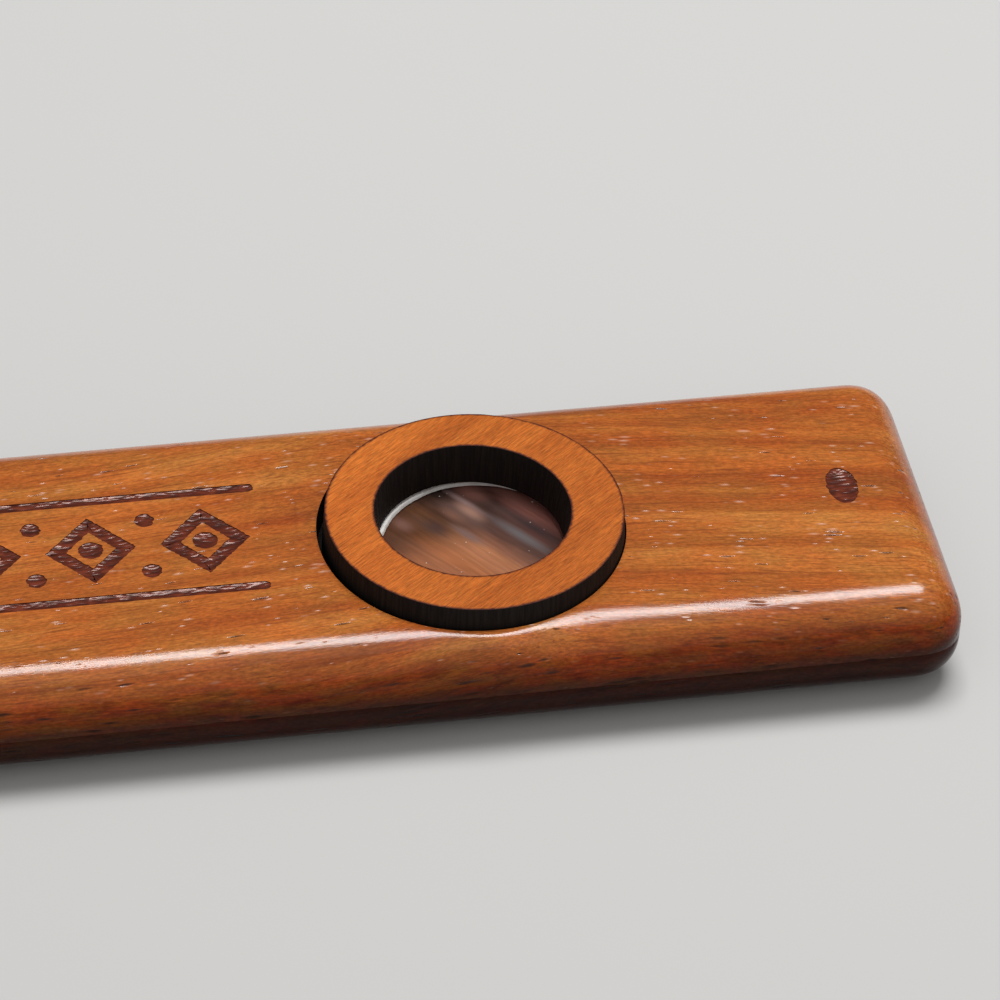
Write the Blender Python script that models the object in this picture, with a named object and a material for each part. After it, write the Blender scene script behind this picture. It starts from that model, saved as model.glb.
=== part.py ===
"""Wooden kazoo: a hollow bar glued from two boards, with a buzzing membrane under a lift-off ring.

Lengths are metres, +Z is up and +X runs along the bar towards the end that is hummed into.
The origin lies on the underside, in the middle of the bar.
"""

import math

import bmesh
import bpy

MM = 0.001

# The bar and the two boards it is glued from
BODY_LENGTH = 125.0 * MM
RING_MARGIN = 3.6 * MM  # how far the bar reaches past a centred ring on each side
UPPER_BOARD = 5.2 * MM
LOWER_BOARD = 4.8 * MM
EDGE_ROUND = 4.2 * MM
PLAN_CORNER = 4.6 * MM

# The air passage, routed partly into each board
MOUTH_WIDTH = 16.0 * MM
OUTLET_WIDTH = 8.0 * MM
PASSAGE_CORNER = 1.0 * MM
FLOOR_WALL = 1.5 * MM  # wood left under the passage
FLARE_LENGTH = 3.0 * MM
FLARE = 0.7 * MM

# The seat of the membrane and the port under it
SEAT_TO_MOUTH_END = 40.0 * MM
SEAT_OFFSET = -0.8 * MM  # the seat and the passage lie a little off the centre line
SEAT_DEPTH = 2.9 * MM
SEAT_LEDGE = 1.0 * MM  # wood left between the seat and the passage
PORT_DIAMETER = 14.5 * MM

# The ring, cut from sheet so that its walls lean outwards from top to bottom
RING_OUTER = 25.0 * MM
RING_INNER = 16.6 * MM
RING_THICKNESS = 4.0 * MM
RING_LEAN = 0.4 * MM

# The membrane: a thin film under a white hoop
HOOP_INNER = 15.5 * MM
HOOP_THICKNESS = 0.5 * MM
FILM_THICKNESS = 0.1 * MM

# Clearances
FIT_GAP = 0.3 * MM
LAYER_GAP = 0.1 * MM
CUT_MARGIN = 2.0 * MM
SAME_PLACE = 0.0001 * MM

# Facets
CIRCLE_STEPS = 96
CORNER_STEPS = 10
ROUND_STEPS = 10
BORE_CORNER_STEPS = 4
SMOOTH_ANGLE = math.radians(35.0)

# Places that follow from the sizes
BODY_WIDTH = RING_OUTER + 2 * RING_MARGIN
BODY_THICKNESS = LOWER_BOARD + UPPER_BOARD
MOUTH_END = BODY_LENGTH / 2
OUTLET_END = -BODY_LENGTH / 2
SEAT_X = MOUTH_END - SEAT_TO_MOUTH_END
SEAT_FLOOR = BODY_THICKNESS - SEAT_DEPTH
PASSAGE_ROOF = SEAT_FLOOR - SEAT_LEDGE
RING_BASE_RADIUS = RING_OUTER / 2 + RING_LEAN
SEAT_RADIUS = RING_BASE_RADIUS + FIT_GAP
LAYER_RADIUS = SEAT_RADIUS - FIT_GAP
FILM_BASE = SEAT_FLOOR + LAYER_GAP
HOOP_BASE = FILM_BASE + FILM_THICKNESS + LAYER_GAP
RING_BASE = HOOP_BASE + HOOP_THICKNESS + LAYER_GAP

# Finishes: linear colour, roughness
BROWN_WOOD = ("brown_lacquered_wood", (0.340, 0.110, 0.030), 0.28)
DARK_WOOD = ("dark_lacquered_wood", (0.240, 0.075, 0.024), 0.30)
RING_WOOD = ("pale_cut_wood", (0.500, 0.150, 0.030), 0.48)
WHITE_PLASTIC = ("white_plastic", (0.750, 0.720, 0.690), 0.50)
FILM_PLASTIC = ("film_plastic", (0.260, 0.130, 0.085), 0.20)


def clear_scene():
    """Removes every object of the scene."""
    for item in list(bpy.data.objects):
        bpy.data.objects.remove(item, do_unlink=True)


def finish_of(finish):
    """A material with one finish's colour and roughness."""
    name, colour, roughness = finish
    material = bpy.data.materials.new(name)
    material.use_nodes = True
    shader = material.node_tree.nodes["Principled BSDF"]
    shader.inputs["Base Color"].default_value = (*colour, 1.0)
    shader.inputs["Roughness"].default_value = roughness
    shader.inputs["Metallic"].default_value = 0.0
    material.diffuse_color = (*colour, 1.0)
    return material


def arc(centre_x, centre_y, radius, start, end, steps):
    """Points of an arc, with both of its ends, in plan."""
    points = []
    for step in range(steps + 1):
        angle = start + (end - start) * step / steps
        points.append((centre_x + radius * math.cos(angle), centre_y + radius * math.sin(angle)))
    return points


def rounded_rectangle(length, width, corner, steps):
    """A rectangle about the origin with round corners, anticlockwise."""
    reach_x = length / 2 - corner
    reach_y = width / 2 - corner
    quarter = math.pi / 2
    points = []
    for turn, (side_x, side_y) in enumerate([(1, 1), (-1, 1), (-1, -1), (1, -1)]):
        points += arc(side_x * reach_x, side_y * reach_y, corner, turn * quarter, (turn + 1) * quarter, steps)
    return points


def passage_outline():
    """The passage in plan: a wide run from the mouth end, round under the seat, and a narrow run on."""
    wide = MOUTH_WIDTH / 2
    narrow = min(OUTLET_WIDTH, MOUTH_WIDTH) / 2
    meeting = math.asin(narrow / wide)
    quarter = math.pi / 2
    steps = CIRCLE_STEPS // 4
    far_mouth = MOUTH_END + CUT_MARGIN
    far_outlet = OUTLET_END - CUT_MARGIN
    points = [(far_mouth, SEAT_OFFSET - wide), (far_mouth, SEAT_OFFSET + wide)]
    points += arc(SEAT_X, SEAT_OFFSET, wide, quarter, math.pi - meeting, steps)
    points += [(far_outlet, SEAT_OFFSET + narrow), (far_outlet, SEAT_OFFSET - narrow)]
    points += arc(SEAT_X, SEAT_OFFSET, wide, math.pi + meeting, 3 * quarter, steps)
    return points


def prism(points, base, top):
    """A mesh with this outline in plan, from base to top."""
    bm = bmesh.new()
    floor = bm.faces.new([bm.verts.new((x, y, base)) for x, y in points])
    raised = bmesh.ops.extrude_face_region(bm, geom=[floor])["geom"]
    lifted = [item for item in raised if isinstance(item, bmesh.types.BMVert)]
    bmesh.ops.translate(bm, verts=lifted, vec=(0.0, 0.0, top - base))
    bmesh.ops.recalc_face_normals(bm, faces=bm.faces)
    return bm


def round_rim(bm, heights, radius, steps):
    """Rounds the outline's edges at these heights."""
    rims = [
        edge
        for edge in bm.edges
        for height in heights
        if all(math.isclose(vert.co.z, height, abs_tol=SAME_PLACE) for vert in edge.verts)
    ]
    bmesh.ops.bevel(
        bm, geom=rims, offset=radius, offset_type="OFFSET", segments=steps, profile=0.5,
        affect="EDGES", material=-1, clamp_overlap=False,
    )


def turned(profile):
    """A mesh turned about the Z axis from a closed profile of (radius, height) points."""
    bm = bmesh.new()
    verts = [bm.verts.new((radius, 0.0, height)) for radius, height in profile]
    edges = [bm.edges.new((verts[i - 1], verts[i])) for i in range(len(verts))]
    bmesh.ops.spin(
        bm, geom=verts + edges, cent=(0.0, 0.0, 0.0), axis=(0.0, 0.0, 1.0), angle=2 * math.pi,
        steps=CIRCLE_STEPS, use_merge=True,
    )
    bmesh.ops.recalc_face_normals(bm, faces=bm.faces)
    return bm


def disc(radius, base, top):
    """A round plate about the Z axis."""
    return prism(arc(0.0, 0.0, radius, 0.0, 2 * math.pi, CIRCLE_STEPS)[:-1], base, top)


def flare(bm, end):
    """Opens the passage out over the last stretch before one end of the bar."""
    side = math.copysign(1.0, end)
    start = end - side * FLARE_LENGTH
    middle_z = (FLOOR_WALL + PASSAGE_ROOF) / 2
    growth = FLARE * (FLARE_LENGTH + CUT_MARGIN) / FLARE_LENGTH
    bmesh.ops.bisect_plane(
        bm, geom=[*bm.verts, *bm.edges, *bm.faces], dist=SAME_PLACE,
        plane_co=(start, 0.0, 0.0), plane_no=(1.0, 0.0, 0.0),
    )
    for vert in bm.verts:
        if (vert.co.x - start) * side > FLARE_LENGTH / 2:
            vert.co.y += math.copysign(growth, vert.co.y - SEAT_OFFSET)
            vert.co.z += math.copysign(growth, vert.co.z - middle_z)


def object_from(name, bm, place=(0.0, 0.0, 0.0)):
    """A new object that holds this mesh."""
    mesh = bpy.data.meshes.new(name)
    bm.to_mesh(mesh)
    bm.free()
    item = bpy.data.objects.new(name, mesh)
    item.location = place
    bpy.context.scene.collection.objects.link(item)
    return item


def part(name, bm, finish, place=(0.0, 0.0, 0.0)):
    """A visible piece, shaded smooth up to its sharp edges."""
    item = object_from(name, bm, place)
    item.data.materials.append(finish_of(finish))
    item.data.shade_smooth()
    item.data.set_sharp_from_angle(angle=SMOOTH_ANGLE)
    return item


def cutter(name, bm, place=(0.0, 0.0, 0.0)):
    """A helper that only cuts other pieces."""
    item = object_from(name, bm, place)
    item.hide_render = True
    item.display_type = "WIRE"
    return item


def cut(item, tools):
    """Cuts each tool out of a piece."""
    for tool in tools:
        boolean = item.modifiers.new("cut_" + tool.name, "BOOLEAN")
        boolean.operation = "DIFFERENCE"
        boolean.object = tool


def board(thickness, rounded_height):
    """One board of the bar, standing on z = 0, with the rim at one height rounded over."""
    outline = rounded_rectangle(BODY_LENGTH, BODY_WIDTH, PLAN_CORNER, CORNER_STEPS)
    bm = prism(outline, 0.0, thickness)
    radius = min(EDGE_ROUND, thickness - FIT_GAP, PLAN_CORNER - FIT_GAP)
    round_rim(bm, [rounded_height], radius, ROUND_STEPS)
    return bm


def passage_cutter():
    """The routed passage, flared at both ends."""
    bm = prism(passage_outline(), FLOOR_WALL, PASSAGE_ROOF)
    round_rim(bm, [FLOOR_WALL, PASSAGE_ROOF], PASSAGE_CORNER, BORE_CORNER_STEPS)
    for end in (MOUTH_END, OUTLET_END):
        flare(bm, end)
    return cutter("passage", bm)


def seat_cutters():
    """The round seat in the top face and the port through its floor."""
    place = (SEAT_X, SEAT_OFFSET, 0.0)
    seat = disc(SEAT_RADIUS, SEAT_FLOOR, BODY_THICKNESS + CUT_MARGIN)
    port = disc(PORT_DIAMETER / 2, LOWER_BOARD, SEAT_FLOOR + LAYER_GAP)
    return [cutter("seat", seat, place), cutter("port", port, place)]


def make_boards():
    """The lower and upper boards, hollowed together."""
    passage = passage_cutter()
    lower = part("lower_board", board(LOWER_BOARD, 0.0), DARK_WOOD)
    cut(lower, [passage])
    upper_height = UPPER_BOARD - FIT_GAP
    upper_place = (0.0, 0.0, LOWER_BOARD + FIT_GAP)
    upper = part("upper_board", board(upper_height, upper_height), BROWN_WOOD, upper_place)
    cut(upper, [*seat_cutters(), passage])
    return [lower, upper]


def make_ring():
    """The ring that holds the membrane down."""
    profile = [
        (RING_OUTER / 2, RING_THICKNESS),
        (RING_BASE_RADIUS, 0.0),
        (RING_INNER / 2 - RING_LEAN, 0.0),
        (RING_INNER / 2, RING_THICKNESS),
    ]
    return part("retaining_ring", turned(profile), RING_WOOD, (SEAT_X, SEAT_OFFSET, RING_BASE))


def make_membrane():
    """The film that buzzes and the hoop that keeps it flat."""
    profile = [
        (LAYER_RADIUS, HOOP_THICKNESS),
        (LAYER_RADIUS, 0.0),
        (HOOP_INNER / 2, 0.0),
        (HOOP_INNER / 2, HOOP_THICKNESS),
    ]
    hoop = part("membrane_hoop", turned(profile), WHITE_PLASTIC, (SEAT_X, SEAT_OFFSET, HOOP_BASE))
    film_disc = disc(LAYER_RADIUS, 0.0, FILM_THICKNESS)
    film = part("membrane_film", film_disc, FILM_PLASTIC, (SEAT_X, SEAT_OFFSET, FILM_BASE))
    return [hoop, film]


def hold(name, pieces):
    """An empty that carries these pieces."""
    carrier = bpy.data.objects.new(name, None)
    bpy.context.scene.collection.objects.link(carrier)
    for piece in pieces:
        piece.parent = carrier
    return carrier


def main():
    """Builds the kazoo."""
    clear_scene()
    hold("kazoo", [*make_boards(), make_ring(), *make_membrane()])


main()
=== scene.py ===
"""Looks of a wooden kazoo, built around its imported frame.

The bar is two lacquered boards with a burnt-in ornament. A laser-cut ring clamps a film membrane in its seat.
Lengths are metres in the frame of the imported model: +X runs to the mouth end, +Y across the bar and +Z up.
"""

import logging
import math
from dataclasses import dataclass, replace
from enum import Enum
from functools import cache
from typing import NamedTuple

import bmesh
import bpy
from mathutils import Color, Matrix, Quaternion, Vector, noise


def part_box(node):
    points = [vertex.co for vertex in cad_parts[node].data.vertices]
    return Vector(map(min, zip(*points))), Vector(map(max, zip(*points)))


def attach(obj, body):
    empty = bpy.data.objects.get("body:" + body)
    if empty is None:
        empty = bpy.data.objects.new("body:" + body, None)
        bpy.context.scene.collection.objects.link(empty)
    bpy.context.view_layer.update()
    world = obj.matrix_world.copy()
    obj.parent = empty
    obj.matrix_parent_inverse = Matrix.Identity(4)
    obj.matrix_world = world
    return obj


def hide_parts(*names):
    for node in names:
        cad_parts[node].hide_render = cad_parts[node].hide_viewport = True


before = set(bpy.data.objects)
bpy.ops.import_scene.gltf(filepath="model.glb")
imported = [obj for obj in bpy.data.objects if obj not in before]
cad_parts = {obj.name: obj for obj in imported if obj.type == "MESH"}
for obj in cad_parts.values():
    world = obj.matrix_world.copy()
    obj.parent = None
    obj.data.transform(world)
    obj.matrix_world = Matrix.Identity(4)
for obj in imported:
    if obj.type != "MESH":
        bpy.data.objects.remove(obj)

LOG = logging.getLogger("kazoo")
MM = 0.001
SAME_PLACE = 0.0002 * MM
PARALLEL = 1 - 1e-6
FULL_TURN = 2 * math.pi
SMOOTH_ANGLE = math.radians(34.0)
RIM_ANGLE = 0.5  # radians, over which an edge counts as a rim
LEVEL_TILT = 0.5  # upward part of the normal, over which a face counts as level
ORIGIN = (0.0, 0.0, 0.0)
UNIT = (1.0, 1.0, 1.0)
LEVEL = (1.0, 1.0, 0.0)
NOISE_MIDDLE = 0.5  # what noise swings about
TONE_SPAN = (0.25, 0.75)  # where noise passes from dark to pale
SHEEN_SPAN = (0.3, 0.7)  # where noise passes from one roughness to another

Paint = tuple[int, int, int]
Shade = tuple[float, float, float, float]
Span = tuple[float, float]
Size = tuple[float, float, float]
Mesh = bmesh.types.BMesh
Edges = list[bmesh.types.BMEdge]
Item = bpy.types.Object
Material = bpy.types.Material
Node = bpy.types.Node
Socket = bpy.types.NodeSocket
Feed = float | tuple[float, ...] | Vector | Socket


class Body(Enum):
    """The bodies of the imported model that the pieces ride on."""

    BAR = "body"
    RING = "ring"
    MEMBRANE = "membrane"


class Stands(Enum):
    """The CAD nodes that the pieces stand for, each with its material slot."""

    UPPER_BOARD = ("upper_board", "upper_wood")
    LOWER_BOARD = ("lower_board", "lower_wood")
    RING = ("retaining_ring", "ring_wood")
    HOOP = ("membrane_hoop", "hoop_plastic")
    FILM = ("membrane_film", "film_plastic")

    def __init__(self, node: str, slot: str) -> None:
        """Keeps the names of the CAD node and of its material slot."""
        self.node = node
        self.slot = slot

    @property
    def box(self) -> tuple[Vector, Vector]:
        """The lowest and the highest corner of the CAD node."""
        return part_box(self.node)

    @property
    def axis(self) -> Vector:
        """The foot of the upright axis through the node's middle."""
        low, high = self.box
        return Vector(((low.x + high.x) / 2, (low.y + high.y) / 2, 0.0))


class Axis(Enum):
    """The axes of the frame that shapes are worked along."""

    X = Vector((1.0, 0.0, 0.0))
    Z = Vector((0.0, 0.0, 1.0))


def linear(paint: Paint) -> Shade:
    """A shader colour from screen values of 0 to 255."""
    return (*Color([part / 255 for part in paint]).from_srgb_to_scene_linear(), 1.0)


class Graph:
    """Adds nodes to one node tree and sets or links their inputs."""

    def __init__(self, tree: bpy.types.NodeTree) -> None:
        """Keeps the tree that the nodes go into."""
        self.tree = tree

    def put(self, node: Node, inputs: dict[str | int, Feed]) -> None:
        """Sets or links inputs of a node.

        Args:
            node: the node.
            inputs: what each input holds, a plain value or the socket that feeds it.
        """
        for key, held in inputs.items():
            if isinstance(held, Socket):
                self.tree.links.new(held, node.inputs[key])
            else:
                node.inputs[key].default_value = held

    def add(self, kind: str, inputs: dict[str | int, Feed], **settings: object) -> Node:
        """Adds one shader node.

        Args:
            kind: the node's type, after the words that all shader nodes start with.
            inputs: what each input holds.
            settings: the node's own properties.

        Returns:
            The new node.
        """
        node = self.tree.nodes.new(f"ShaderNode{kind}")
        for name, setting in settings.items():
            setattr(node, name, setting)
        self.put(node, inputs)
        return node

    def place(self) -> Socket:
        """The point of the surface in the frame."""
        return self.add("TexCoord", {}).outputs["Object"]

    def split(self, place: Feed) -> list[Socket]:
        """The parts of a place along X, Y and Z."""
        return self.add("SeparateXYZ", {"Vector": place}).outputs[:]

    def joined(self, x: Feed, y: Feed, z: Feed) -> Socket:
        """A place or a size from its parts along X, Y and Z."""
        return self.add("CombineXYZ", {"X": x, "Y": y, "Z": z}).outputs["Vector"]

    def sized(self, place: Feed, size: Feed, start: Feed = ORIGIN, turn: float = 0.0) -> Socket:
        """Counts a place in a pattern's own size, from the pattern's start and with its turn about Z."""
        inputs = {"Vector": place, "Location": start, "Rotation": (0.0, 0.0, turn), "Scale": size}
        return self.add("Mapping", inputs, vector_type="TEXTURE").outputs["Vector"]

    def lumps(self, place: Feed, size: Feed, detail: float = 2.0, rough: float = 0.5, start: Feed = ORIGIN,
              output: str = "Fac") -> Socket:
        """Noise in lumps of a size, with finer layers over them."""
        layers = {"Scale": 1.0, "Detail": detail, "Roughness": rough}
        return self.add("TexNoise", {"Vector": self.sized(place, size, start), **layers}).outputs[output]

    def vector(self, operation: str, first: Feed, second: Feed = ORIGIN) -> Socket:
        """Vector arithmetic, which gives a value where it measures and a vector elsewhere."""
        outputs = self.add("VectorMath", {0: first, 1: second}, operation=operation).outputs
        return outputs["Value" if operation in ("LENGTH", "DOT_PRODUCT") else "Vector"]

    def math(self, operation: str, first: Feed, second: Feed = 0.0, third: Feed = 0.0) -> Socket:
        """Arithmetic on up to three values."""
        return self.add("Math", {0: first, 1: second, 2: third}, operation=operation).outputs[0]

    def offset(self, value: Feed, middle: float, gain: float) -> Socket:
        """How far a value lies over a middle, times a gain."""
        return self.math("MULTIPLY", self.math("SUBTRACT", value, middle), gain)

    def total(self, *shares: tuple[Socket, float]) -> Socket:
        """Adds up patterns.

        Args:
            shares: each pattern and how much of it counts.

        Returns:
            The sum.
        """
        total: Feed = 0.0
        for pattern, share in shares:
            total = self.math("MULTIPLY_ADD", pattern, share, total)
        return total

    def step(self, value: Feed, low: Feed, high: Feed, first: float = 0.0, last: float = 1.0) -> Socket:
        """Goes smoothly from a first to a last result, as a value goes from low to high."""
        inputs = {"Value": value, "From Min": low, "From Max": high, "To Min": first, "To Max": last}
        return self.add("MapRange", inputs, interpolation_type="SMOOTHSTEP").outputs["Result"]

    def mix(self, share: Feed, first: Feed, second: Feed, blend: str = "MIX") -> Socket:
        """Mixes two colours, the second over the first one by its share."""
        inputs = {0: share, 6: first, 7: second}  # the sockets that the node keeps for colours
        return self.add("Mix", inputs, data_type="RGBA", blend_type=blend).outputs[2]

    def tinted(self, colour: Feed, *shades: Feed, share: Feed = 1.0) -> Socket:
        """Multiplies a colour with shades.

        Args:
            colour: the colour.
            shades: the shades, in order.
            share: how much of them shows.

        Returns:
            The tinted colour.
        """
        for shade in shades:
            colour = self.mix(share, colour, shade, "MULTIPLY")
        return colour

    def ramp(self, value: Feed, stops: list[tuple[float, Paint]]) -> Socket:
        """A colour that follows a value.

        Args:
            value: the value, from 0 to 1.
            stops: the value and the paint of each stop.

        Returns:
            The colour.
        """
        node = self.add("ValToRGB", {"Fac": value})
        elements = node.color_ramp.elements
        for _ in stops[2:]:
            elements.new(1.0)
        for element, (place, paint) in zip(elements, stops):
            element.position = place
            element.color = linear(paint)
        return node.outputs["Color"]

    def fade(self, value: Feed, span: Span, *paints: Paint) -> Socket:
        """A colour that goes evenly through paints while a value goes through a span."""
        gap = (span[1] - span[0]) / (len(paints) - 1)
        return self.ramp(value, [(span[0] + gap * place, paint) for place, paint in enumerate(paints)])

    def bump(self, height: Feed, depth: float) -> Socket:
        """A normal for this relief, whose height of 1 stands that deep."""
        return self.add("Bump", {"Height": height, "Distance": depth}).outputs["Normal"]


def new_group(name: str, inputs: list[str], outputs: list[str]) -> tuple[Graph, list[Socket], Node]:
    """Starts a shader node group that takes a place and some values.

    Args:
        name: the group's name.
        inputs: the values that it takes besides the place.
        outputs: the values that it gives.

    Returns:
        The group's graph, the place and the values that it takes, and its output node.
    """
    tree = bpy.data.node_groups.new(name, "ShaderNodeTree")
    tree.interface.new_socket("Place", in_out="INPUT", socket_type="NodeSocketVector")
    for way, titles in (("INPUT", inputs), ("OUTPUT", outputs)):
        for title in titles:
            tree.interface.new_socket(title, in_out=way, socket_type="NodeSocketFloat")
    taken = tree.nodes.new("NodeGroupInput").outputs
    return Graph(tree), [taken[title] for title in ("Place", *inputs)], tree.nodes.new("NodeGroupOutput")


@cache
def grain_group() -> bpy.types.NodeTree:
    """The group of wood grain along X: fibres, flecks, broad bands, streaks, thin hairs and a slow figure.

    Returns:
        The group's tree.
    """
    sizes = ["Fibre Length", "Fibre Width", "Band Width", "Wander"]
    patterns = ["Fibres", "Flecks", "Bands", "Streaks", "Hairs", "Figure"]
    drift_size, figure_size = (34.0 * MM, 11.0 * MM, 11.0 * MM), (6.0 * MM, 2.2 * MM, 2.2 * MM)
    streak_span, hair_span = (0.56, 0.76), (0.58, 0.74)
    graph, (straight, fibre_length, fibre, band, wander), given = new_group("wood_grain", sizes, patterns)
    drift = graph.lumps(straight, drift_size, detail=1.0, output="Color")
    swing = graph.vector("SUBTRACT", drift, (NOISE_MIDDLE, NOISE_MIDDLE, NOISE_MIDDLE))
    place = graph.vector("ADD", straight, graph.vector("MULTIPLY", swing, wander))

    def drawn(size: Socket, length: float, width: float, start: float, detail: float, rough: float) -> Socket:
        """Lumps drawn out along X, whose length and width are shares of a size."""
        shares = graph.vector("MULTIPLY", size, (length, width, width))
        return graph.lumps(place, shares, detail, rough, (start, start, start))

    streaks = drawn(band, length=11.0, width=0.24, start=0.57, detail=2.0, rough=0.5)
    hairs = drawn(band, length=1.9, width=0.06, start=0.83, detail=1.0, rough=0.5)
    graph.put(given, {
        "Fibres": graph.lumps(place, graph.joined(fibre_length, fibre, fibre), detail=4.0, rough=0.66),
        "Flecks": drawn(fibre, length=3.2, width=1.3, start=0.19, detail=2.0, rough=0.55),
        "Bands": drawn(band, length=18.0, width=1.0, start=0.31, detail=3.0, rough=0.52),
        "Streaks": graph.step(streaks, *streak_span),
        "Hairs": graph.step(hairs, *hair_span),
        "Figure": graph.lumps(place, figure_size),
    })
    return graph.tree


@cache
def pore_group() -> bpy.types.NodeTree:
    """The group of open pores: small oval pits along X, gathered in loose clusters.

    Returns:
        The group's tree.
    """
    inputs = ["Spacing Along", "Spacing Across", "Size"]
    cluster_size, smallest = (5.0 * MM, 1.3 * MM, 1.3 * MM), 0.01
    graph, (place, along, across, size), given = new_group("wood_pores", inputs, ["Pits"])
    cell = graph.sized(place, graph.joined(along, across, across))
    away = graph.add("TexVoronoi", {"Vector": cell, "Scale": 1.0}).outputs["Distance"]
    gathered = graph.offset(graph.lumps(place, cluster_size, detail=1.0), middle=0.28, gain=4.0)
    reach = graph.math("MAXIMUM", graph.math("MULTIPLY", size, gathered), smallest)
    graph.put(given, {"Pits": graph.step(away, 0.0, reach, 1.0, 0.0)})
    return graph.tree


def new_material(name: str) -> tuple[Material, Graph, Node]:
    """Starts a material.

    Args:
        name: the material's name.

    Returns:
        The material, its graph and its main shader.
    """
    material = bpy.data.materials.new(name)
    material.use_nodes = True
    return material, Graph(material.node_tree), material.node_tree.nodes["Principled BSDF"]


@dataclass(frozen=True, kw_only=True)
class Finish:
    """What every finish has: a name, the strength and the tint of its gloss, and its range of roughness."""

    name: str
    gloss: float = 0.5
    gloss_tint: Paint = (255, 255, 255)
    roughness: Span

    def material(self) -> Material:
        """Makes the material.

        Returns:
            The material, with the finish's patterns on its shader.
        """
        material, graph, shader = new_material(self.name)
        mirror = {"Specular IOR Level": self.gloss, "Specular Tint": linear(self.gloss_tint)}
        graph.put(shader, {**mirror, **self.surface(graph)})
        return material

    def surface(self, graph: Graph) -> dict[str, Socket]:
        """What feeds the shader's inputs, by their names."""
        raise NotImplementedError

    def sheen(self, graph: Graph, pattern: Socket) -> Socket:
        """The roughness, which follows a pattern."""
        return graph.step(pattern, *SHEEN_SPAN, *self.roughness)


@dataclass(frozen=True, kw_only=True)
class Wood(Finish):
    """A finish with wood grain."""

    fibre_length: float
    fibre_width: float
    band_width: float
    wander: float

    def grain(self, graph: Graph, place: Socket) -> bpy.types.NodeOutputs:
        """The patterns of the grain at a place."""
        inputs = (place, self.fibre_length, self.fibre_width, self.band_width, self.wander)
        return graph.add("Group", dict(enumerate(inputs)), node_tree=grain_group()).outputs


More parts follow.
